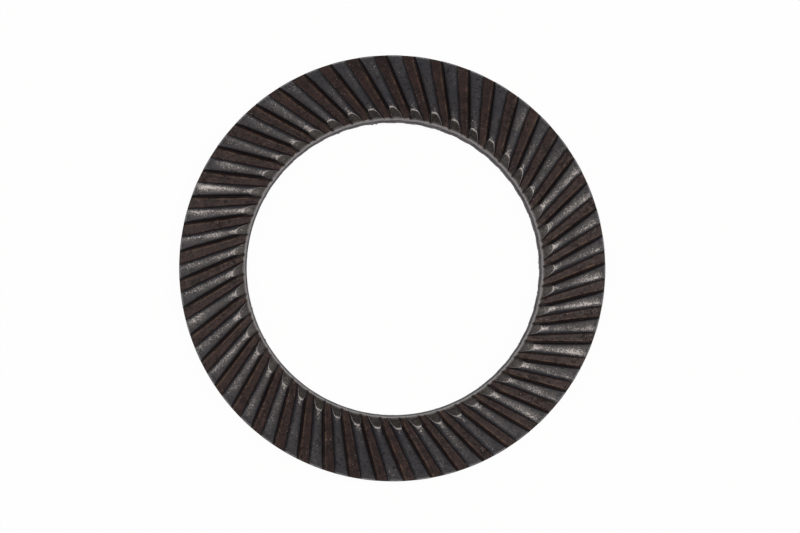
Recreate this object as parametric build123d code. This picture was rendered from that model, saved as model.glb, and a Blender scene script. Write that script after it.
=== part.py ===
from build123d import *
from math import cos, degrees, radians, sin, sqrt, tan
import os

# Serrated safety washer for an M14 screw: one dished ring of spring steel, with slanted ribs
# pressed into both faces.
# Origin: on the bore's axis, at the level that the washer stands on. +Z points out of the domed
# face, and the outer rim lies below. All sizes are in millimetres and degrees.

# Ring
outside_diameter = 22.0
bore_diameter = 15.12
land_thickness = 1.08
dish_angle = 8.0
bore_land_height = 0.4
bore_edge_break = 0.04

# Ribs, with the land between them as wide as it is at the outer rim. They aren't quite evenly
# spaced: each is turned back from its even place by up to the drift, and most at the drift's turn
rib_count = 48
slant_circle_radius = 3.77
first_rib_angle = 3.3
rib_drift = 1.2
drift_turn = 53.0
rib_height = 0.17
crest_wear = 0.02
land_width = 0.6
long_flank_width = 0.36
short_flank_radius = 0.2

# Ends of the ribs
facet_length = 0.54
facet_foot_height = 0.015
rim_bevel = 0.13

# How far a rib and a land go into the ring's core, how deep the core lies under the lands, and how
# far raw pieces run past the ring before they are trimmed
root_depth = 0.1
core_depth = 0.05
land_under_rib = 0.65
trim_margin = 0.3

outer_radius = outside_diameter / 2
bore_radius = bore_diameter / 2
slope = tan(radians(dish_angle))
lean = sin(radians(dish_angle))
rise = cos(radians(dish_angle))
rim_reach = sqrt(outer_radius**2 - slant_circle_radius**2)
bore_reach = sqrt(bore_radius**2 - slant_circle_radius**2)
start_reach = bore_reach - trim_margin
end_reach = rim_reach + trim_margin
length = end_reach - start_reach
pitch_angle = 360 / rib_count
land_angle = degrees(land_width / rim_reach)
rib_angle = pitch_angle - land_angle


def off_face(side, radius, height):
    """Radius and height of a point straight off the land of one face, from this radius on it.

    side is 1 for the domed face and -1 for the hollow one.
    """
    land = (outer_radius - radius) * slope + side * land_thickness / 2 / rise
    return radius + side * height * lean, land + side * height * rise


def revolved(*corners):
    """The solid that a section turns into, from its corners' radius and height."""
    return revolve(make_face(Polyline(*[(r, 0, z) for r, z in corners], close=True)), Axis.Z)


def core():
    """The dished ring just under the lands of its two faces, untrimmed at the bore and the rim."""
    inner = bore_radius - trim_margin
    outer = outer_radius + trim_margin
    return revolved(
        off_face(-1, inner, -core_depth),
        off_face(1, inner, -core_depth),
        off_face(1, outer, -core_depth),
        off_face(-1, outer, -core_depth),
    )


def envelope():
    """What the washer's walls and its ribs' ends lie on. Its own faces stay clear of the crests.

    The bore is straight low down, and leans out above that as the dished ring does. Its top edge
    is broken, and the domed face's ribs run down to it on one conical facet. At the rim the ribs
    of both faces end in a bevel.
    """
    top_bore = bore_radius + land_thickness * lean
    bottom_rim = outer_radius - land_thickness * lean
    clear = rib_height + trim_margin
    facet_foot = top_bore + bore_edge_break
    facet_run = facet_length * (clear - facet_foot_height) / (rib_height - facet_foot_height)
    bevel_foot = rib_height - rim_bevel
    bevel_run = (clear - bevel_foot) * rise
    bore_foot = off_face(-1, bore_radius, 0)[1]
    return revolved(
        (bore_radius, bore_foot - clear),
        (bore_radius, bore_foot + bore_land_height),
        off_face(1, top_bore, -bore_edge_break),
        off_face(1, facet_foot, facet_foot_height),
        off_face(1, facet_foot + facet_run, clear),
        off_face(1, outer_radius - bevel_run, clear),
        off_face(1, outer_radius, bevel_foot),
        off_face(-1, bottom_rim, bevel_foot),
        off_face(-1, bottom_rim - bevel_run, clear),
    )


def line_plane(side, angle):
    """A plane across the line that one flank's foot follows on its face.

    Every such line touches the slant circle, and this one is turned about the axis by the angle.
    The plane stands on the line's inner end: its X points across the rib and its Y off the face.
    """

    def on_land(reach):
        radius = sqrt(reach**2 + slant_circle_radius**2)
        return Vector(reach, -slant_circle_radius, side * off_face(side, radius, 0)[1])

    start = on_land(start_reach)
    along = on_land(end_reach) - start
    middle = start + along / 2
    outward = Vector(middle.X, middle.Y, 0).normalized()
    off = Vector(0, 0, rise) + outward * side * lean
    straight = Plane(origin=start, x_dir=off.cross(along), z_dir=along)
    return Plane(Rot(Z=angle) * straight.location)


def strip_plane(side, first_angle, second_angle):
    """The flat between two such lines, level with both: X runs outwards and Z off the face."""
    first = line_plane(side, first_angle)
    second = line_plane(side, second_angle)
    return Plane(
        (first.origin + second.origin) / 2,
        x_dir=first.z_dir + second.z_dir,
        z_dir=first.z_dir.cross(second.z_dir),
    )


def rib(side):
    """One rib of a face, drawn as on the domed face: its long flank runs along its first line.

    It is a ratchet's tooth with round flanks, level at the crest. The long one falls slowly to the
    land before the rib, and the short one drops to the land behind it. Each is an extrusion along
    its own line, so the crest between them widens outwards.
    """
    broad = pitch_angle / rib_angle * land_width + long_flank_width + short_flank_radius
    top = rib_height + crest_wear
    root = -root_depth

    long_foot = (0, root / 2)
    long_top = (long_flank_width, top)
    long_flank = TangentArc(long_top, long_foot, tangent=(-1, 0))
    body = Polyline(long_foot, (0, root), (broad, root), (broad, top), long_top)
    long_plane = line_plane(side, 0)
    long_bar = extrude(long_plane * make_face(long_flank + body), length, long_plane.z_dir)

    short_foot = (0, top - short_flank_radius)
    short_top = (-short_flank_radius, top)
    short_flank = TangentArc(short_top, short_foot, tangent=(1, 0))
    body = Polyline(short_foot, (0, root), (-broad, root), (-broad, top), short_top)
    short_plane = line_plane(side, rib_angle)
    short_bar = extrude(short_plane * make_face(short_flank + body), length, short_plane.z_dir)

    crest = strip_plane(side, 0, rib_angle).offset(rib_height)
    return split(long_bar & short_bar, bisect_by=crest, keep=Keep.BOTTOM)


def land(side):
    """The flat strip before a rib, widening outwards. Its sides are hidden under the ribs."""
    spread = tan(radians(land_angle / 2 + rib_angle * land_under_rib))
    corners = [
        (0, -start_reach * spread),
        (0, start_reach * spread),
        (length, end_reach * spread),
        (length, -end_reach * spread),
    ]
    flat = strip_plane(side, -land_angle, 0)
    return extrude(flat * make_face(Polyline(*corners, close=True)), -root_depth, flat.z_dir)


def serrations(side):
    """All the ribs and lands of a face. The hollow face has them turned over, slanting alike."""
    pieces = [rib(side), land(side)]
    if side < 0:
        pieces = [Rot(X=180) * piece for piece in pieces]
    even = [first_rib_angle + k * pitch_angle for k in range(rib_count)]
    turns = [turn - rib_drift * cos(radians(turn - drift_turn)) for turn in even]
    return [Rot(Z=side * turn) * piece for turn in turns for piece in pieces]


washer = (core() + serrations(1) + serrations(-1)) & envelope()
washer = Pos(Z=-washer.bounding_box().min.Z) * washer

os.makedirs("parts", exist_ok=True)
export_step(washer, "parts/serrated_washer.step")
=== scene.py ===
import math

import bpy
import numpy as np
from mathutils import Matrix, Vector


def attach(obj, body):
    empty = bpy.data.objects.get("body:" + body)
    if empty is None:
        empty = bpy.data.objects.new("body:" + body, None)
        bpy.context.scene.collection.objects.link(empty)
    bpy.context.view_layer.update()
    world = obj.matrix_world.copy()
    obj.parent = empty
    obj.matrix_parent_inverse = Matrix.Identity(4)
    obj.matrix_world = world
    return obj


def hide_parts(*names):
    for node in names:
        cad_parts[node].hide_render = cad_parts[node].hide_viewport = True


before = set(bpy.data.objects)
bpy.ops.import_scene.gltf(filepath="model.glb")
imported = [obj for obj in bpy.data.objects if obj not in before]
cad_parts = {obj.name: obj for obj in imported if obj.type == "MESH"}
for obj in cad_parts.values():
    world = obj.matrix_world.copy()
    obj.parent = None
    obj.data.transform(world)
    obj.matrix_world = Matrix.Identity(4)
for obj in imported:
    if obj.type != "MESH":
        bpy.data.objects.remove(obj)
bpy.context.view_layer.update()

# The serrated safety washer as one fine mesh that takes its solid's place. Sizes are in
# millimetres and degrees, and the mesh goes into the scene in metres. Down to the root depth, the
# names and values are those of the part's source.
MILLIMETRE = 0.001

# Ring
outside_diameter = 22.0
bore_diameter = 15.12
land_thickness = 1.08
dish_angle = 8.0
bore_land_height = 0.4
bore_edge_break = 0.04

# Ribs, and the land between them
rib_count = 48
slant_circle_radius = 3.77
first_rib_angle = 3.3
rib_drift = 1.2
drift_turn = 53.0
rib_height = 0.17
crest_wear = 0.02
land_width = 0.6
long_flank_width = 0.36
short_flank_radius = 0.2

# Ends of the ribs, and how deep their flanks run on under the land
facet_length = 0.54
facet_foot_height = 0.015
rim_bevel = 0.13
root_depth = 0.1

# Edges, rounded
crest_rounding = 0.02
foot_rounding = 0.006
facet_rounding = 0.012
bore_edge_rounding = 0.006
bevel_rounding = 0.024

# Top of each rib. The long flank gets steeper outwards, down to this share of its width. The ridge
# stands at these shares of the rib's width from the long flank's foot, and the top drops away
# from it on both sides. At its inner end the rib bulges over the land behind it
outer_flank_share = 0.6
ridge_inner_share = 0.64
ridge_outer_share = 0.22
crown_drop = 0.016
facet_bulge = 0.1
bulge_power = 1.5

# No rib counts as narrower than this where shares of its width are taken
least_rib_width = 0.05

# Groove that the press left beside each short flank, shallower at both ends, with the lip that it
# raised, and the notch along each long flank's foot. The middle and the reach of the groove and
# the middle of the lip are shares of their own widths
groove_depth = 0.06
groove_width = 0.09
groove_end_share = 0.25
groove_middle_share = 0.25
groove_reach_share = 0.75
lip_height = 0.012
lip_width = 0.07
lip_middle_share = 0.4
notch_depth = 0.02
notch_width = 0.03

# How much one rib differs from the next: the lines of its flanks' feet in degrees, its height and
# where its facet ends, and the least that a rib is worn or its groove pressed, as a share
edge_wander = 0.12
height_wander = 0.02
facet_wander = 0.035
least_rib_share = 0.45

# Bore, punched a little off the rim's centre, with a ragged lower edge. The burrs' shares and
# widths are the least and the most, and the widths are in radians
bore_offset = np.array([0.046, -0.017])
bore_scallop = 0.01
scallop_inward_share = 0.3
burr_count = 26
burr_size = 0.04
burr_shares = (0.3, 1.0)
burr_widths = (0.005, 0.011)

# Painted sheen: ribs get the most bare metal on two opposite sides, where their lines are turned by
# this angle and by half a turn more, which paints in the brighter light that falls on those sides.
# Then the share of that sheen on the sides between them, and the wear of the walls
sheen_side = 192.0
least_side_sheen = 0.1
wall_wear = 0.5

# No point lies farther from the axis than the solid's own rim, which is made of flat facets
widest_radius = 11.005

# Painted shade: dark in the groove, up the short flank, where it reaches higher midway along the rib,
# and along the other feet. The lip's lighter tone is a share of the lip's width
groove_shade_middle = 0.02
groove_shade_width = 0.09
shade_end_width = 0.08
shade_middle_gain = 0.16
foot_shade = 0.75
foot_shade_width = 0.035
lip_tone_share = 0.6

# Wear: how far over a rib's width the rubbing of its ridge reaches, and how high over the land the
# rib's own ground begins
crown_half_share = 0.5
ribbed_height = 0.05

# Ends of the ribs: how much the facet and the bevel have cut off where they count in full, how far
# in from the rim a bevel can lie, the bright border of a facet and the shortest facet that has
# one, the bright tip of the rib beyond it, and the bore's top edge as a share of its edge break
facet_cut = 0.03
bevel_cut = 0.02
bevel_zone = 0.3
facet_edge_width = 0.05
least_facet_run = 0.06
tip_middle = 0.12
tip_width = 0.42
tip_overlap = 0.02
bore_edge_share = 1.6

# Painted shade and wear on the rows of the bore's wall, from its lower edge up. The shade is a dark
# band about halfway up
BORE_SHADE = (0, 0, 0, 0.15, 0.6, 0.1, 0)
BORE_RUB = (0.1, 0.1, 0.1, 0, 0, 0.3, 0.7)

# How many rows of points there are on each stretch
BORE_EDGE_ROWS = 3
FACET_ROWS = 7
FACET_EDGE_ROWS = 2
RIB_ROWS = 11
BEVEL_ROWS = 3
RIM_STEPS = 5
HOLLOW_ROWS = 9
BORE_STEPS = 8

# Where the columns of the mesh stand across one rib and the land after it, in degrees of turn
# from the foot of the rib's long flank
COLUMNS = np.array(
    [-0.4, -0.24, -0.12, -0.04, 0.03, 0.12, 0.24, 0.38, 0.55, 0.75, 0.97, 1.22, 1.5, 1.8, 2.1]
    + [2.4, 2.68, 2.92, 3.13, 3.31, 3.47, 3.61, 3.74, 3.86, 3.96, 4.05, 4.13, 4.21, 4.31, 4.43]
    + [4.57, 4.75, 5.0, 5.4, 5.85, 6.3, 6.75]
)

# What the mesh tells the steel of each point: how near it is to a rib's ridge, how deep it lies in
# the painted shade of a groove, a short flank, a foot or the bore wall's band, on a lip, on a facet,
# on a rib, how worn that rib is with the painted sheen of its side, how far out it lies, and whether
# it is at a facet's border, a rib's tip, a bevel, the bore's top edge or on a wall
MASK_NAMES = (
    "crown",
    "groove",
    "lip",
    "facet",
    "ribbed",
    "wear",
    "outward",
    "facet_edge",
    "tip",
    "bevel",
    "bore_edge",
    "wall",
)

outer_radius = outside_diameter / 2
bore_radius = bore_diameter / 2
slope = math.tan(math.radians(dish_angle))
lean = math.sin(math.radians(dish_angle))
rise = math.cos(math.radians(dish_angle))
rim_reach = math.sqrt(outer_radius**2 - slant_circle_radius**2)
pitch_angle = 360 / rib_count
rib_angle = pitch_angle - math.degrees(land_width / rim_reach)
top_bore = bore_radius + land_thickness * lean
bottom_rim = outer_radius - land_thickness * lean
facet_start = top_bore + bore_edge_break
facet_slope = (rib_height - facet_foot_height) / facet_length
bore_edge_slope = (bore_edge_break + facet_foot_height) / bore_edge_break
bevel_foot = rib_height - rim_bevel
groove_middle = groove_width * groove_middle_share
groove_reach = groove_width * groove_reach_share
lip_middle = groove_width + lip_width * lip_middle_share
bore_straight_top = (outer_radius - bore_radius) * slope - land_thickness / 2 / rise + bore_land_height

rng = np.random.default_rng(48)


def soft_least(a, b, rounding):
    """The lower of two heights, with the edge between them rounded."""
    blend = np.clip(0.5 + (b - a) / (2 * rounding), 0, 1)
    return b + (a - b) * blend - rounding * blend * (1 - blend)


def soft_most(a, b, rounding):
    """The higher of two heights, with the corner between them rounded."""
    return -soft_least(-a, -b, rounding)


def bump(distance, width):
    """A smooth hump that is 1 at no distance and 0 from the width on."""
    return np.clip(1 - (distance / width) ** 2, 0, 1) ** 2


def outward_share(radius, inner):
    """How far out a point lies, as a share of the way from an inner radius to the rim."""
    return np.clip((radius - inner) / (outer_radius - inner), 0, 1)


def reach_of(radius):
    """How far along its line a point is when it lies at this radius."""
    return np.sqrt(radius**2 - slant_circle_radius**2)


def ridge_share(radius):
    """Where a rib's ridge stands, as a share of its width from its long flank's foot."""
    return ridge_inner_share + (ridge_outer_share - ridge_inner_share) * outward_share(radius, top_bore)


def flank_height(inward, run, arc):
    """Height of a round flank so far in from its foot. It ends level, after its run."""
    left = run - np.clip(inward, 0, run)
    return rib_height + crest_wear - arc + np.sqrt(arc**2 - left**2)


class Face:
    """One face's ribs and lands. The side is 1 for the domed face and -1 for the hollow one.

    Every radius that its functions take is one per column of points, measured on the land.
    """

    def __init__(self, side):
        self.side = side
        self.rim = outer_radius if side > 0 else bottom_rim
        wander = rng.uniform(-1, 1, (4, rib_count))
        even = first_rib_angle + pitch_angle * np.arange(rib_count)
        first = even - rib_drift * np.cos(np.radians(even - drift_turn))
        self.long_line = first + edge_wander * wander[0]
        self.short_line = first + rib_angle + edge_wander * wander[1]
        self.next_line = np.append(self.long_line[1:], self.long_line[0] + 360)
        self.crest = rib_height - height_wander * (1 + wander[2]) / 2
        self.facet_shift = facet_wander * wander[3]
        # Painted sheen on two opposite sides, then times each rib's own random wear
        side_sheen = (1 + np.cos(np.radians(2 * (first - sheen_side)))) / 2
        sheen_and_wear = least_side_sheen + (1 - least_side_sheen) * side_sheen
        self.wear = sheen_and_wear * rng.uniform(least_rib_share, 1, rib_count)
        self.groove = rng.uniform(least_rib_share, 1, rib_count)
        turns = []
        for k in range(rib_count):
            stops = [self.long_line[k], self.short_line[k], self.next_line[k]]
            inside = np.interp(COLUMNS, [0, rib_angle, pitch_angle], stops)
            turns.append(np.where(COLUMNS < 0, stops[0] + COLUMNS, inside))
        self.turn = np.concatenate(turns)
        self.rib = np.repeat(np.arange(rib_count), len(COLUMNS))

    def level(self, radius):
        """One radius for all columns."""
        return np.full(len(self.turn), float(radius))

    def across(self, line, reach):
        """How far a point lies across from a foot line, anticlockwise as seen from off the face."""
        turned = np.radians(self.turn - line)
        return reach * np.sin(turned) + slant_circle_radius * (1 - np.cos(turned))

    def places(self, radius):
        """Distances in from the feet of the rib's long and short flanks, and before the next rib."""
        reach = reach_of(radius)
        bulge = facet_bulge * np.clip(1 - (radius - top_bore) / facet_length, 0, 1) ** bulge_power
        long_in = self.across(self.long_line[self.rib], reach)
        short_in = bulge - self.across(self.short_line[self.rib], reach)
        before_next = -self.across(self.next_line[self.rib], reach)
        return long_in, short_in, before_next

    def rib_profile(self, radius):
        """Height over the land before the facet and the bevel cut the rib's ends."""
        long_in, short_in, before_next = self.places(radius)
        drop = rib_height + crest_wear + root_depth / 2
        narrowing = (1 - outer_flank_share) * outward_share(radius, top_bore)
        run = long_flank_width * (1 - narrowing)
        long_flank = flank_height(long_in, run, (run**2 + drop**2) / (2 * drop))
        short_flank = flank_height(short_in, short_flank_radius, short_flank_radius)
        width = np.maximum(short_in + long_in, least_rib_width)
        ridge = ridge_share(radius)
        off_ridge = (long_in / width - ridge) / np.maximum(ridge, 1 - ridge)
        crest = self.crest[self.rib] - crown_drop * np.clip(off_ridge, -1, 1) ** 2
        height = soft_least(long_flank, short_flank, crest_rounding)
        height = soft_least(height, crest, crest_rounding)
        height = np.where((long_in > 0) & (short_in > 0), height, -root_depth)

        pressed = np.sin(np.pi * outward_share(radius, bore_radius))
        pressed = (groove_end_share + (1 - groove_end_share) * pressed) * self.groove[self.rib]
        groove = -groove_depth * pressed * bump(short_in + groove_middle, groove_reach)
        lip = lip_height * pressed * bump(short_in + lip_middle, lip_width)
        notch = -notch_depth * bump(np.minimum(np.abs(long_in), np.abs(before_next)), notch_width)
        return soft_most(height, groove + lip + notch, foot_rounding)

    def height(self, radius):
        """Height over the land once the facet, the edge break and the bevel have cut the ribs."""
        height = self.rib_profile(radius)
        if self.side > 0:
            facet = radius - facet_start - self.facet_shift[self.rib]
            facet = facet_foot_height + facet_slope * facet
            height = soft_least(height, facet, facet_rounding)
            edge = (radius - top_bore) * bore_edge_slope - bore_edge_break
            height = soft_least(height, edge, bore_edge_rounding)
        bevel = bevel_foot + (self.rim - radius) / rise
        return soft_least(height, bevel, bevel_rounding)

    def facet_border(self):
        """The radius at which each column leaves the facet at its rib's inner end."""
        first_guess = 0.4
        rounds = 4
        least_facet = 0.02
        radius = self.level(bore_radius + first_guess)
        for _ in range(rounds):
            over = self.rib_profile(radius) - facet_foot_height
            radius = facet_start + np.maximum(over, 0) / facet_slope
            radius = radius + self.facet_shift[self.rib] * (over > 0)
            radius = np.maximum(radius, facet_start + least_facet)
        return radius

    def bevel_border(self):
        """The radius at which each column meets the bevel at its rib's outer end."""
        before_rim = 0.1
        least_bevel = 0.04
        over = self.rib_profile(self.level(self.rim - before_rim)) - bevel_foot
        return self.rim - np.maximum(over * rise, least_bevel)

    def polar(self, radius):
        """The columns' angles about the axis at this radius, as seen from above."""
        return self.side * (self.turn - np.degrees(np.arcsin(slant_circle_radius / radius)))

    def points(self, radius, height):
        """The columns' points at this radius on the land, raised off it."""
        raised = radius + self.side * height * lean
        angle = np.radians(self.polar(radius))
        z = (outer_radius - radius) * slope + self.side * land_thickness / 2 / rise
        z = z + self.side * height * rise
        return np.stack([raised * np.cos(angle), raised * np.sin(angle), z], axis=-1)

    def masks(self, radius, height):
        """Where the ribs rub bright, where shade is painted, and what is facet, for one row."""
        long_in, short_in, before_next = self.places(radius)
        share = long_in / np.maximum(short_in + long_in, least_rib_width)
        on_rib = (short_in > 0) & (long_in > 0)
        crown = np.clip(1 - np.abs(share - ridge_share(radius)) / crown_half_share, 0, 1)
        crown = np.where(on_rib, crown, 0) * np.clip(height / rib_height, 0, 1)
        outward = outward_share(radius, bore_radius)
        # The groove mask is painted shade: in the groove, up the short flank, reaching higher midway
        # along the rib, and along the feet
        shade = shade_end_width + shade_middle_gain * np.sin(np.pi * outward)
        groove_shade = bump(short_in + groove_shade_middle, groove_shade_width)
        groove = np.where(short_in < 0, groove_shade, bump(short_in, shade))
        foot = np.minimum(np.abs(long_in), np.abs(before_next))
        groove = np.maximum(np.clip(groove, 0, 1), foot_shade * bump(foot, foot_shade_width))
        cut = np.clip((self.rib_profile(radius) - height) / facet_cut, 0, 1)
        return {
            "crown": crown,
            "groove": groove,
            "lip": bump(short_in + lip_middle, lip_width * lip_tone_share),
            "facet": cut * (self.side > 0) * (radius < (bore_radius + outer_radius) / 2),
            "ribbed": np.clip(height / ribbed_height, 0, 1) * on_rib,
            "wear": self.wear[self.rib],
            "outward": outward,
        }

    def end_masks(self, radius, height, border):
        """The ends of the domed face's ribs, and the bore's top edge, for one row."""
        past = radius - border
        cut = np.clip((self.rib_profile(radius) - height) / bevel_cut, 0, 1)
        into_bore_edge = np.maximum(radius - top_bore, 0)
        return {
            "facet_edge": bump(np.abs(past), facet_edge_width) * (border > facet_start + least_facet_run),
            "tip": bump(past - tip_middle, tip_width) * (past > -tip_overlap),
            "bevel": cut * (radius > outer_radius - bevel_zone),
            "bore_edge": bump(into_bore_edge, bore_edge_break * bore_edge_share),
        }


def between(a, b, steps):
    """Radii from a to b, without a, whose last is b."""
    return [a + (b - a) * (i + 1) / steps for i in range(steps)]


def domed_radii(face, border):
    """The radii of the domed face's rows, from the bore's top edge out to the rim."""
    inner = face.level(top_bore)
    foot = face.level(facet_start)
    past = border + facet_edge_width
    bevel = face.bevel_border()
    radii = [inner]
    radii += between(inner, foot, BORE_EDGE_ROWS)
    radii += between(foot, border, FACET_ROWS)
    radii += between(border, past, FACET_EDGE_ROWS)
    radii += between(past, bevel, RIB_ROWS)
    radii += between(bevel, face.level(outer_radius), BEVEL_ROWS)
    return radii


def hollow_radii(face):
    """The radii of the hollow face's rows, from the rim in to the bore's lower edge."""
    near_bore = 0.02
    rim = face.level(bottom_rim)
    bevel = face.bevel_border()
    over = np.maximum(face.rib_profile(face.level(bore_radius + near_bore)), 0)
    inner = bore_radius + over * lean
    return [rim] + between(rim, bevel, BEVEL_ROWS) + between(bevel, inner, HOLLOW_ROWS)


def angle_of(points):
    """Each point's angle about the axis, in radians."""
    return np.arctan2(points[:, 1], points[:, 0])


def ragged(points, height):
    """The bore's lower edge, pulled out where a land ends and inwards at small burrs."""
    angle = angle_of(points)
    over = np.clip(height / rib_height, 0, 1)
    pull = bore_scallop * (1 - over) - scallop_inward_share * bore_scallop
    places = rng.uniform(-math.pi, math.pi, burr_count)
    sizes = rng.uniform(*burr_shares, burr_count) * burr_size
    widths = rng.uniform(*burr_widths, burr_count)
    for place, size, width in zip(places, sizes, widths):
        off = np.abs((angle - place + math.pi) % (2 * math.pi) - math.pi)
        pull = pull - size * bump(off, width)
    scale = 1 + pull / bore_radius
    return points * np.stack([scale, scale, np.ones_like(scale)], axis=-1)


def wall_rows(top, bottom, steps, shape):
    """Rows down a wall between two edges whose points stand at slightly different angles."""
    a = np.unwrap(angle_of(top))
    b = np.unwrap(angle_of(bottom))
    b = b + 2 * math.pi * np.round((a.mean() - b.mean()) / (2 * math.pi))
    top_radius = np.hypot(top[:, 0], top[:, 1])
    bottom_radius = np.hypot(bottom[:, 0], bottom[:, 1])
    made = []
    for i in range(1, steps):
        down = i / steps
        z = top[:, 2] + (bottom[:, 2] - top[:, 2]) * down
        radius = shape(top_radius, bottom_radius, down, z)
        angle = a + (b - a) * down
        made.append(np.stack([radius * np.cos(angle), radius * np.sin(angle), z], axis=-1))
    return made


def rim_shape(top_radius, bottom_radius, down, z):
    """The rim's wall: straight from one edge to the other."""
    return top_radius + (bottom_radius - top_radius) * down


def bore_shape(top_radius, bottom_radius, down, z):
    """The bore's wall: straight low down, leaning out above, and ragged near its lower edge."""
    ragged_part = 1 / 3
    up = np.clip((z - bore_straight_top) / (top_edge[:, 2].mean() - bore_straight_top), 0, 1)
    smooth = np.clip((1 - down) / ragged_part, 0, 1)
    low = bottom_radius + (bore_radius - bottom_radius) * smooth
    return low + (top_radius - bore_radius) * up


def closest_roll(top, bottom):
    """How far round the bottom's points are to be rolled to stand under the top's."""
    start = math.degrees(math.atan2(top[0, 1], top[0, 0]))
    off = (np.degrees(angle_of(bottom)) - start + 180) % 360 - 180
    return -int(np.argmin(np.abs(off)))


rows = []
masks = {name: [] for name in MASK_NAMES}


def keep_row(points, **shares):
    """Keeps one row's points with its masks. A mask that isn't given is 0 there."""
    rows.append(points)
    for name, kept in masks.items():
        kept.append(np.broadcast_to(shares.get(name, 0), len(points)).astype(np.float32))


domed = Face(1)
hollow = Face(-1)

# Domed face, from the bore out to the rim
facet_border = domed.facet_border()
for radius in domed_radii(domed, facet_border):
    height = domed.height(radius)
    ends = domed.end_masks(radius, height, facet_border)
    keep_row(domed.points(radius, height), **domed.masks(radius, height), **ends)
top_edge = rows[0]
rim_edge = rows[-1]

# Hollow face, from the rim in to the bore. Its columns go round the other way, so they are put
# into the order of the domed face's angles
by_angle = np.argsort(hollow.polar(hollow.level(bottom_rim)) % 360)
starts_at = int(np.argmin(domed.polar(domed.level(outer_radius)) % 360))
order = np.roll(by_angle, starts_at)
hollow_rows = []
for radius in hollow_radii(hollow):
    height = hollow.height(radius)
    shares = {name: value[order] for name, value in hollow.masks(radius, height).items()}
    hollow_rows.append([hollow.points(radius, height)[order], shares])
hollow_rows[-1][0] = ragged(hollow_rows[-1][0], height[order])
standing_level = -min(points[:, 2].min() for points, shares in hollow_rows)

# Rim's wall, down to the hollow face
rim_roll = closest_roll(rim_edge, hollow_rows[0][0])
for points in wall_rows(rim_edge, np.roll(hollow_rows[0][0], rim_roll, axis=0), RIM_STEPS, rim_shape):
    keep_row(points, wear=wall_wear, outward=1, wall=1)
for points, shares in hollow_rows:
    rolled = {name: np.roll(value, rim_roll) for name, value in shares.items()}
    keep_row(np.roll(points, rim_roll, axis=0), **rolled)

# Bore's wall, from its lower edge back up to the domed face
bore_roll = closest_roll(top_edge, rows[-1])
bore_rows = wall_rows(top_edge, np.roll(rows[-1], bore_roll, axis=0), BORE_STEPS, bore_shape)
# The bore wall's rows get a band of painted shade about halfway up, and wear near the top
for points, painted_shade, rub in zip(reversed(bore_rows), BORE_SHADE, BORE_RUB):
    keep_row(np.roll(points, -bore_roll, axis=0), groove=painted_shade, bore_edge=rub, wear=wall_wear, wall=1)

row_count = len(rows)
column_count = len(top_edge)
points = np.concatenate(rows)
points[:, 2] += standing_level
from_axis = np.hypot(points[:, 0], points[:, 1])
points[:, :2] *= np.minimum(1, widest_radius / from_axis)[:, None]
inward = np.clip((outer_radius - from_axis) / (outer_radius - bore_radius), 0, 1)
points[:, :2] += inward[:, None] * bore_offset

grid = np.arange(row_count * column_count).reshape(row_count, column_count)
grid = np.concatenate([grid, np.roll(grid[:1], -bore_roll, axis=1)])
ring = np.roll(grid, -1, axis=1)
quads = np.stack([grid[:-1], grid[1:], ring[1:], ring[:-1]], axis=-1).reshape(-1, 4)

mesh = bpy.data.meshes.new("serrated_ring")
mesh.from_pydata((points * MILLIMETRE).tolist(), [], quads.tolist())
mesh.validate()
for name, values in masks.items():
    layer = mesh.attributes.new(name, "FLOAT", "POINT")
    layer.data.foreach_set("value", np.concatenate(values))
mesh.shade_smooth()
ring_piece = bpy.data.objects.new("serrated_ring", mesh)
bpy.context.scene.collection.objects.link(ring_piece)


# A colour Mix node has its two colours and its result at these places among its sockets
COLOUR_A = 6
COLOUR_B = 7
COLOUR_OUT = 2

# The stretches of a noise in which most of its values lie
WIDE = (0.3, 0.7)
MIDDLE = (0.35, 0.65)

# Patterns on the steel: the size of their features in millimetres, their detail and roughness.
# Crystals of phosphate are finer than the photo shows, so grain, specks and fine are drawn as
# coarse as it takes for them to show
PATTERNS = {
    "cloud": (1.6, 3, 0.6),
    "blotch": (0.5, 4, 0.65),
    "grain": (0.12, 4, 0.6),
    "speck": (0.07, 4, 0.7),
    "fine": (0.05, 3, 0.6),
    "pit": (0.15, 5, 0.75),
    "flow": (0.9, 3, 0.55),
}

# Drawing marks round the punched walls: how long one is, and how many there are to a millimetre
mark_length = 0.84
marks_per_millimetre = 9
mark_detail = 3
mark_roughness = 0.6

# Coat on each place: the pattern and the stretch of it that goes from the first colour to the second
COATS = {
    "land": ("blotch", WIDE, "#180b0c", "#36221f"),
    "ribbed": ("cloud", MIDDLE, "#292a30", "#313135"),
    "facet": ("grain", MIDDLE, "#100e0c", "#2e2b27"),
    # The walls' lighter lavender grey is partly painted reflection of the white board, partly the punched
    # steel's own grey
    "wall": ("marks", MIDDLE, "#332d34", "#69616a"),
}
LIP_COLOUR = "#5a4636"
PIT_COLOUR = "#0c0707"
# Painted shade for the grooves, the short flanks, the feet and a band on the bore's wall
GROOVE_SHADE_COLOUR = "#0f080c"
METAL_COLOUR = "#bdb9b8"

# Stretches of the patterns over which the coat turns pitted, cracked and lighter along the lips.
# Cracks lie along the middle level of the flow, and only under some clouds
PITTED = (0.47, 0.37)
CRACK_WIDTH = (0.022, 0.006)
CRACK_CLOUDS = (0.45, 0.52)
LIP_TONED = (0.35, 0.6)
flow_level = 0.5
pit_strength = 0.9
crack_strength = 0.7
groove_shade_strength = 0.9

# Bare metal along edges: the mask, its pattern, and the stretch of the pattern with the shares of
# bare metal that it goes between
BARE_EDGES = (
    ("facet_edge", "speck", 0.35, 0.6, 0.2, 1.0),
    ("bore_edge", "speck", 0.3, 0.6, 0.2, 1.0),
    ("bevel", "speck", 0.35, 0.6, 0.1, 0.6),
    ("wall", "marks", 0.45, 0.7, 0.04, 0.3),
)

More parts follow.
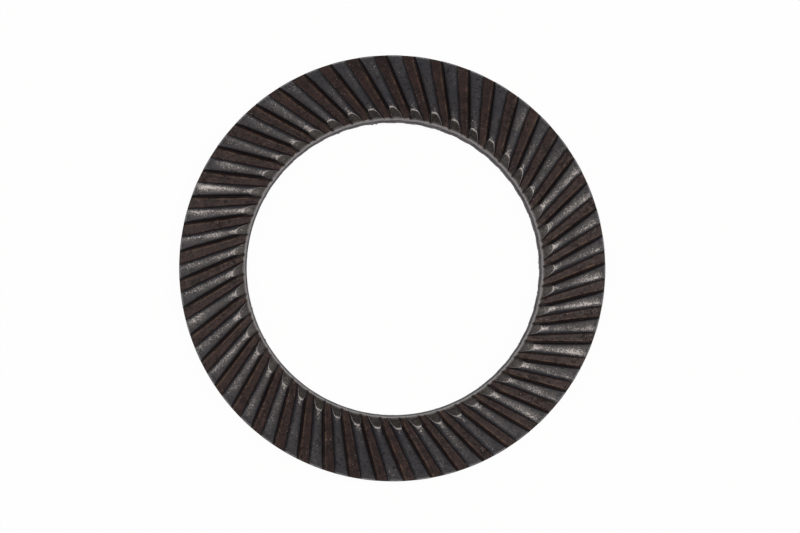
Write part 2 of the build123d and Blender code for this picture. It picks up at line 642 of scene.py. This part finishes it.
# Bare metal on the ribs, each a stretch with the shares that it turns into: the bloom over the
# grain, the patches under the clouds, the wear that grows outwards and the wear at the tips. Then
# how far up the ridge the polish grows, how strongly polish, crest and patches show, and the level
# over which the specks of a rubbed crest break through
BLOOM = (*WIDE, 0.03, 0.12)
PATCHES = (*MIDDLE, 0.3, 1.0)
OUTWARD_WEAR = (0.2, 1.0, 0.55, 1.0)
TIP_WEAR = (0.0, 0.8, 0.45, 0.95)
SPECKS_OUT = (0.72, 0.88, 0.0, 0.8)
POLISHED = (0.0, 0.9)
polish_strength = 0.2
crest_strength = 0.36
patch_strength = 0.12

# Finish: the height of the crystals in millimetres, how strongly they show, what the finest grain
# and the walls' marks are next to it, and the roughness of the coat and of the metal, with what
# ribs, pits and walls add to the coat's
crystal_height = 0.012
crystal_strength = 0.8
fine_share = 0.5
mark_share = 3.0
coat_roughness = (0.33, 0.43)
metal_roughness = (0.5, 0.62)
ribbed_roughness = 0.2
pit_roughness = 0.35
wall_roughness = 0.3
coat_specular = 0.2


def linear(hex_colour):
    """A colour written as sRGB hex, in the linear values that a shader takes."""
    parts = [int(hex_colour[i : i + 2], 16) / 255 for i in (1, 3, 5)]
    low = [p / 12.92 if p <= 0.04045 else ((p + 0.055) / 1.055) ** 2.4 for p in parts]
    return (*low, 1.0)


def add(tree, kind, feeds, take=0, **settings):
    """Adds one node with its settings and links, and gives the output that is to be taken.

    The feeds are values, or outputs to link, for the first sockets in turn or for named ones.
    """
    made = tree.nodes.new("ShaderNode" + kind)
    for name, value in settings.items():
        setattr(made, name, value)
    pairs = feeds.items() if isinstance(feeds, dict) else enumerate(feeds)
    for socket, value in pairs:
        if isinstance(value, bpy.types.NodeSocket):
            tree.links.new(value, made.inputs[socket])
        else:
            made.inputs[socket].default_value = value
    return made.outputs[take] if made.outputs else None


def new_material(name):
    """An empty node material and its tree."""
    made = bpy.data.materials.new(name)
    made.use_nodes = True
    made.node_tree.nodes.clear()
    return made, made.node_tree


def steel_patterns(tree):
    """The noises that the steel's coat, wear and relief are made from, by name."""
    place = add(tree, "TexCoord", [], "Object")
    made = {}
    for name, (size, detail, roughness) in PATTERNS.items():
        scale = 1 / (size * MILLIMETRE)
        feeds = {"Vector": place, "Scale": scale, "Detail": detail, "Roughness": roughness}
        made[name] = add(tree, "TexNoise", feeds)

    # Drawing marks run round the walls, so their noise is laid round the axis and stretched
    x, y, z = add(tree, "SeparateXYZ", [place]).node.outputs
    turn = add(tree, "Math", [y, x], operation="ARCTAN2")
    round_axis = add(tree, "Math", [turn, bore_radius / mark_length], operation="MULTIPLY")
    up = add(tree, "Math", [z, marks_per_millimetre / MILLIMETRE], operation="MULTIPLY")
    laid = add(tree, "CombineXYZ", [round_axis, up])
    feeds = {"Vector": laid, "Scale": 1.0, "Detail": mark_detail, "Roughness": mark_roughness}
    made["marks"] = add(tree, "TexNoise", feeds)
    return made


def steel_pits(tree, mask, pattern):
    """Where the coat is pitted, and cracked on the lands."""
    pits = add(tree, "MapRange", [pattern["pit"], *PITTED])
    pits = add(tree, "Math", [pits, pit_strength], operation="MULTIPLY")
    off_level = add(tree, "Math", [pattern["flow"], flow_level], operation="SUBTRACT")
    off_level = add(tree, "Math", [off_level], operation="ABSOLUTE")
    crack = add(tree, "MapRange", [off_level, *CRACK_WIDTH])
    clouded = add(tree, "MapRange", [pattern["cloud"], *CRACK_CLOUDS])
    on_land = add(tree, "Math", [1.0, mask["ribbed"]], operation="SUBTRACT")
    for factor in (clouded, on_land, crack_strength):
        crack = add(tree, "Math", [crack, factor], operation="MULTIPLY")
    return add(tree, "Math", [pits, crack], operation="MAXIMUM")


def steel_coat(tree, mask, pattern, pits):
    """The coat's colour: each place's own, then the lips, the pits and the painted shade over it."""
    tone = {}
    for name, (kind, stretch, first, second) in COATS.items():
        share = add(tree, "MapRange", [pattern[kind], *stretch])
        feeds = {0: share, COLOUR_A: linear(first), COLOUR_B: linear(second)}
        tone[name] = add(tree, "Mix", feeds, COLOUR_OUT, data_type="RGBA")
    # A lighter olive tone along each lip, broken up by the blotches
    lip_tone = add(tree, "MapRange", [pattern["blotch"], *LIP_TONED])
    lip_tone = add(tree, "Math", [mask["lip"], lip_tone], operation="MULTIPLY")
    # Painted shade darkens the grooves, short flanks, feet and the bore wall's band
    painted_shade = add(tree, "Math", [mask["groove"], groove_shade_strength], operation="MULTIPLY")
    layers = (
        (mask["ribbed"], tone["ribbed"]),
        (mask["facet"], tone["facet"]),
        (mask["wall"], tone["wall"]),
        (lip_tone, linear(LIP_COLOUR)),
        (pits, linear(PIT_COLOUR)),
        (painted_shade, linear(GROOVE_SHADE_COLOUR)),
    )
    coat = tone["land"]
    for share, colour in layers:
        feeds = {0: share, COLOUR_A: coat, COLOUR_B: colour}
        coat = add(tree, "Mix", feeds, COLOUR_OUT, data_type="RGBA")
    return coat


def steel_bare(tree, mask, pattern):
    """The share of bare metal: a thin grey bloom and a polish on the ribs, specks, and edges."""
    # Each rib's wear, with the painted sheen of its side, scales all the bare metal on the ribs
    wear = mask["wear"]
    bloom = add(tree, "MapRange", [pattern["grain"], *BLOOM])
    for factor in (mask["ribbed"], wear):
        bloom = add(tree, "Math", [bloom, factor], operation="MULTIPLY")
    patch = add(tree, "MapRange", [pattern["cloud"], *PATCHES])
    polish = add(tree, "MapRange", [mask["crown"], *POLISHED])
    for factor in (patch, wear, polish_strength):
        polish = add(tree, "Math", [polish, factor], operation="MULTIPLY")

    outwards = add(tree, "MapRange", [mask["outward"], *OUTWARD_WEAR])
    outwards = add(tree, "Math", [wear, outwards], operation="MULTIPLY")
    tip = add(tree, "MapRange", [wear, *TIP_WEAR])
    tip = add(tree, "Math", [mask["tip"], tip], operation="MULTIPLY")
    sheen_and_wear = add(tree, "Math", [outwards, tip], operation="MAXIMUM")
    rub = mask["crown"]
    for factor in (sheen_and_wear, crest_strength):
        rub = add(tree, "Math", [rub, factor], operation="MULTIPLY")
    patchy = add(tree, "Math", [patch, patch_strength], operation="MULTIPLY")
    for part in (pattern["speck"], patchy):
        rub = add(tree, "Math", [rub, part], operation="ADD")
    rub = add(tree, "MapRange", [rub, *SPECKS_OUT])

    bare = bloom
    for part in (polish, rub):
        bare = add(tree, "Math", [bare, part], operation="ADD")
    for place, kind, *stretch in BARE_EDGES:
        edge = add(tree, "MapRange", [pattern[kind], *stretch])
        edge = add(tree, "Math", [mask[place], edge], operation="MULTIPLY")
        bare = add(tree, "Math", [bare, edge], operation="MAXIMUM")
    # No bare metal shows where shade is painted
    unshaded = add(tree, "Math", [mask["groove"], groove_shade_strength], operation="MULTIPLY")
    unshaded = add(tree, "Math", [1.0, unshaded], operation="SUBTRACT")
    bare = add(tree, "Math", [bare, unshaded], operation="MULTIPLY")
    return add(tree, "Math", [bare, 1.0], operation="MINIMUM")


def steel_relief(tree, mask, pattern):
    """The crystals' relief, and the drawing marks' on the walls."""
    fine = add(tree, "Math", [pattern["fine"], fine_share], operation="MULTIPLY")
    uneven = add(tree, "Math", [fine, pattern["grain"]], operation="ADD")
    marks = mask["wall"]
    for factor in (pattern["marks"], mark_share):
        marks = add(tree, "Math", [marks, factor], operation="MULTIPLY")
    uneven = add(tree, "Math", [uneven, marks], operation="ADD")
    distance = crystal_height * MILLIMETRE
    feeds = {"Height": uneven, "Distance": distance, "Strength": crystal_strength}
    return add(tree, "Bump", feeds)


def spring_steel():
    """Spring steel, punched from sheet, then phosphated and oiled.

    The coat is a brown-black crust of fine crystals with a broad dull sheen. It is rubbed through
    to grey metal along the ribs' crests and round the facets, most on two opposite sides as painted
    sheen, and the corners are darkened with painted shade.
    """
    made, tree = new_material("phosphated_spring_steel")
    mask = {name: add(tree, "Attribute", [], "Fac", attribute_name=name) for name in MASK_NAMES}
    pattern = steel_patterns(tree)
    pits = steel_pits(tree, mask, pattern)
    relief = steel_relief(tree, mask, pattern)

    rough = add(tree, "MapRange", [pattern["grain"], *WIDE, *coat_roughness])
    adders = ((mask["ribbed"], ribbed_roughness), (pits, pit_roughness), (mask["wall"], wall_roughness))
    for share, more in adders:
        part = add(tree, "Math", [share, more], operation="MULTIPLY")
        rough = add(tree, "Math", [rough, part], operation="ADD")
    feeds = {
        "Base Color": steel_coat(tree, mask, pattern, pits),
        "Roughness": rough,
        "Specular IOR Level": coat_specular,
        "Normal": relief,
    }
    crust = add(tree, "BsdfPrincipled", feeds)
    feeds = {
        "Base Color": linear(METAL_COLOUR),
        "Metallic": 1.0,
        "Roughness": add(tree, "MapRange", [pattern["grain"], *WIDE, *metal_roughness]),
        "Normal": relief,
    }
    metal = add(tree, "BsdfPrincipled", feeds)
    both = add(tree, "MixShader", [steel_bare(tree, mask, pattern), crust, metal])
    add(tree, "OutputMaterial", [both])
    return made


def white_board():
    """White board, matt. The camera and reflections see it white, and a little of its shadow."""
    seen_share = 0.97
    made, tree = new_material("white_board")
    ray = add(tree, "LightPath", []).node.outputs
    board = add(tree, "BsdfDiffuse", [linear("#f2f2f2")])
    glow = add(tree, "Emission", [linear("#ffffff"), 1.0])
    seen = add(tree, "Math", [ray["Is Camera Ray"], ray["Is Glossy Ray"]], operation="MAXIMUM")
    seen = add(tree, "Math", [seen, ray["Is Transmission Ray"]], operation="MAXIMUM")
    share = add(tree, "Math", [seen, seen_share], operation="MULTIPLY")
    both = add(tree, "MixShader", [share, board, glow])
    add(tree, "OutputMaterial", [both])
    return made


mesh.materials.append(spring_steel())
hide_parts("serrated_washer")
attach(ring_piece, "root")

floor_half = 0.4
floor_mesh = bpy.data.meshes.new("floor")
corners = [(x * floor_half, y * floor_half, 0) for x, y in ((-1, -1), (1, -1), (1, 1), (-1, 1))]
floor_mesh.from_pydata(corners, [], [(0, 1, 2, 3)])
floor = bpy.data.objects.new("floor", floor_mesh)
bpy.context.scene.collection.objects.link(floor)
floor_mesh.materials.append(white_board())


def softbox(name, azimuth, elevation, size, power):
    """A square softbox that faces the washer. Its azimuth goes round from +X. Its size is in metres."""
    distance = 0.5
    light = bpy.data.lights.new(name, "AREA")
    light.shape = "SQUARE"
    light.size = size
    light.energy = power
    light.color = linear("#fff6ec")[:3]
    lamp = bpy.data.objects.new(name, light)
    round_from_x = math.radians(azimuth)
    up = math.radians(elevation)
    flat = math.cos(up)
    away = Vector((math.cos(round_from_x) * flat, math.sin(round_from_x) * flat, math.sin(up)))
    lamp.location = away * distance
    lamp.rotation_euler = away.to_track_quat("Z", "Y").to_euler()
    bpy.context.scene.collection.objects.link(lamp)


softbox("left_softbox", azimuth=165, elevation=69, size=0.2, power=0.8)
softbox("right_softbox", azimuth=-2, elevation=68, size=0.2, power=1.0)
softbox("front_softbox", azimuth=-65, elevation=45, size=0.3, power=0.12)

world_strength = 0.22
world = bpy.data.worlds.new("studio")
world.use_nodes = True
bpy.context.scene.world = world
world.node_tree.nodes.clear()
sky = add(world.node_tree, "Background", [linear("#d8e0f0"), world_strength])
add(world.node_tree, "OutputWorld", [sky])

# The camera looks down, a few degrees off the bore's axis. Its distance and aim are in
# millimetres, and its side goes round from +X
camera_distance = 300.0
camera_tilt = 3.9
camera_side = 227.0
aim = Vector((0.382, 0.076, 1.23))
pixels_per_millimetre = 19.39
sensor_width = 36.0
image_width = 800

camera_data = bpy.data.cameras.new("camera")
camera_data.sensor_width = sensor_width
camera_data.lens = pixels_per_millimetre * sensor_width / image_width * camera_distance
camera_data.clip_start = 0.01
camera_data.clip_end = 10.0
camera = bpy.data.objects.new("camera", camera_data)
tilt = math.radians(camera_tilt)
side = math.radians(camera_side)
back = Vector((math.sin(tilt) * math.cos(side), math.sin(tilt) * math.sin(side), math.cos(tilt)))
right = Vector((0, 1, 0)).cross(back).normalized()
turned = Matrix((right, back.cross(right), back)).transposed().to_4x4()
camera.matrix_world = Matrix.Translation((aim + back * camera_distance) * MILLIMETRE) @ turned
bpy.context.scene.collection.objects.link(camera)
bpy.context.scene.camera = camera

bpy.context.scene.view_settings.view_transform = "Standard"
